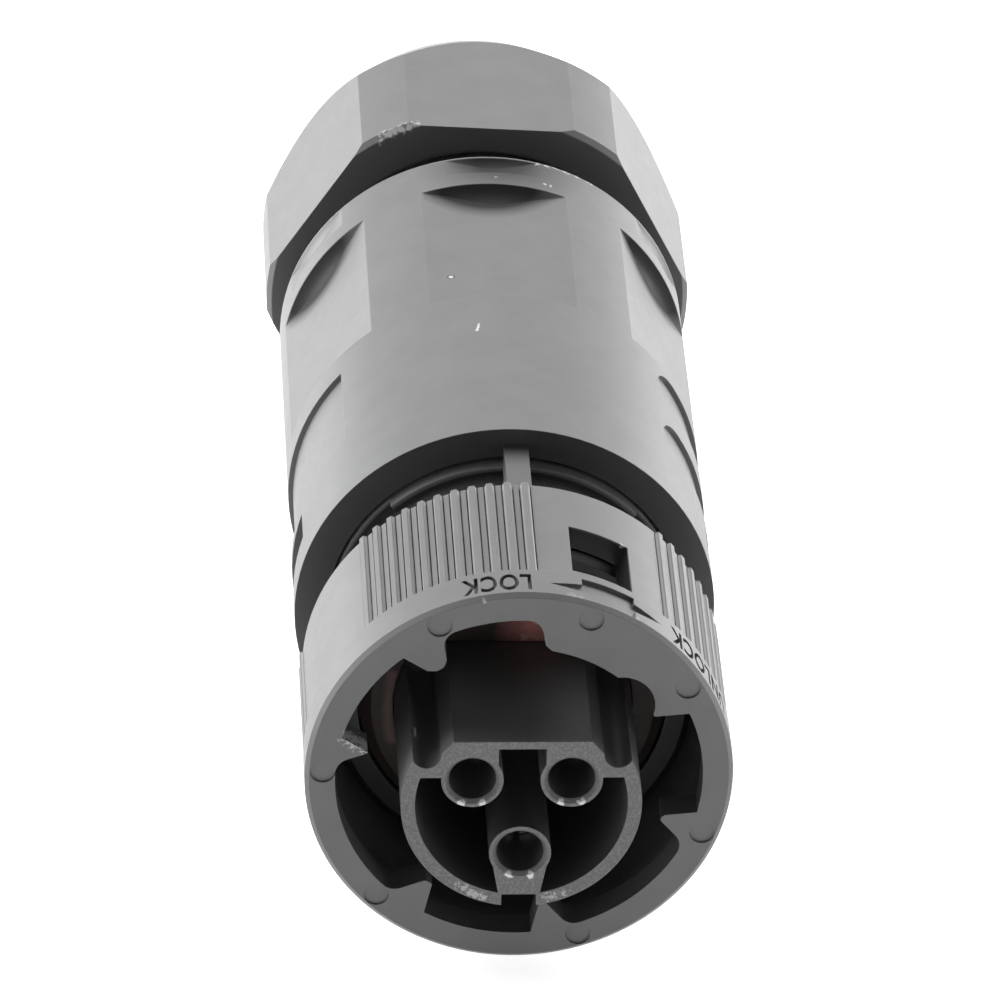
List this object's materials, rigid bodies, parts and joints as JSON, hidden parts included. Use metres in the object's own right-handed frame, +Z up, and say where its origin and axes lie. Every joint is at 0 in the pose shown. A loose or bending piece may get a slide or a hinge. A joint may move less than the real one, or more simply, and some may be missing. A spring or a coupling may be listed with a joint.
{
  "type": "inverter ac connector",
  "caption": "Cable-side AC connector with a knurled bayonet locking ring, keyed socket insert, round sleeve with wrench flats and a hexagonal cable gland nut.",
  "frame": {"origin": "on the connector's axis, at the front face of the locking ring", "axes": "+Y along the axis from the mating face to the cable end, +Z up as it lies, +X to the right seen from the mating face"},
  "size_m": [0.0404, 0.114, 0.0382],
  "materials": {
    "black_plastic": "fine satin moulding",
    "black_insulator": "matte moulding",
    "red_silicone": "soft matte",
    "black_rubber": "soft matte",
    "silvered_brass": "silver plated",
    "brass": "machined",
    "zinc_steel": "zinc plated"
  },
  "bodies": {
    "housing": {"front_housing": "black_plastic", "interface_seal": "red_silicone", "sleeve_housing": "black_plastic", "socket_insert": "black_insulator", "insert_o_ring": "black_rubber", "housing_o_ring": "black_rubber", "contact_line": "silvered_brass", "contact_neutral": "silvered_brass", "contact_earth": "silvered_brass", "contact_carrier": "black_insulator", "terminal_line": "brass", "terminal_neutral": "brass", "terminal_earth": "brass", "terminal_screws": "zinc_steel", "cable_seal": "black_rubber", "seal_reducer": "black_rubber"},
    "ring": {"locking_ring": "black_plastic"},
    "claw": {"clamp_claw": "black_plastic"},
    "nut": {"gland_nut": "black_plastic"}
  },
  "joints": [
    {"name": "ring_turn", "type": "hinge", "parent": "housing", "child": "ring", "pos_m": [0, 0.0097, 0], "axis": [0, -1, 0], "range_deg": [0, 30]},
    {"name": "claw_slide", "type": "slide", "parent": "housing", "child": "claw", "axis": [0, -1, 0], "range_m": [-0.004, 0.0045]},
    {"name": "nut_turn", "type": "hinge", "parent": "claw", "child": "nut", "pos_m": [0, 0.098, 0], "axis": [0, -1, 0], "range_deg": [-720, 810]}
  ],
  "couplings": [
    {"joint": "claw_slide", "follows": "nut_turn", "m_per_rad": 0.00031831}
  ]
}
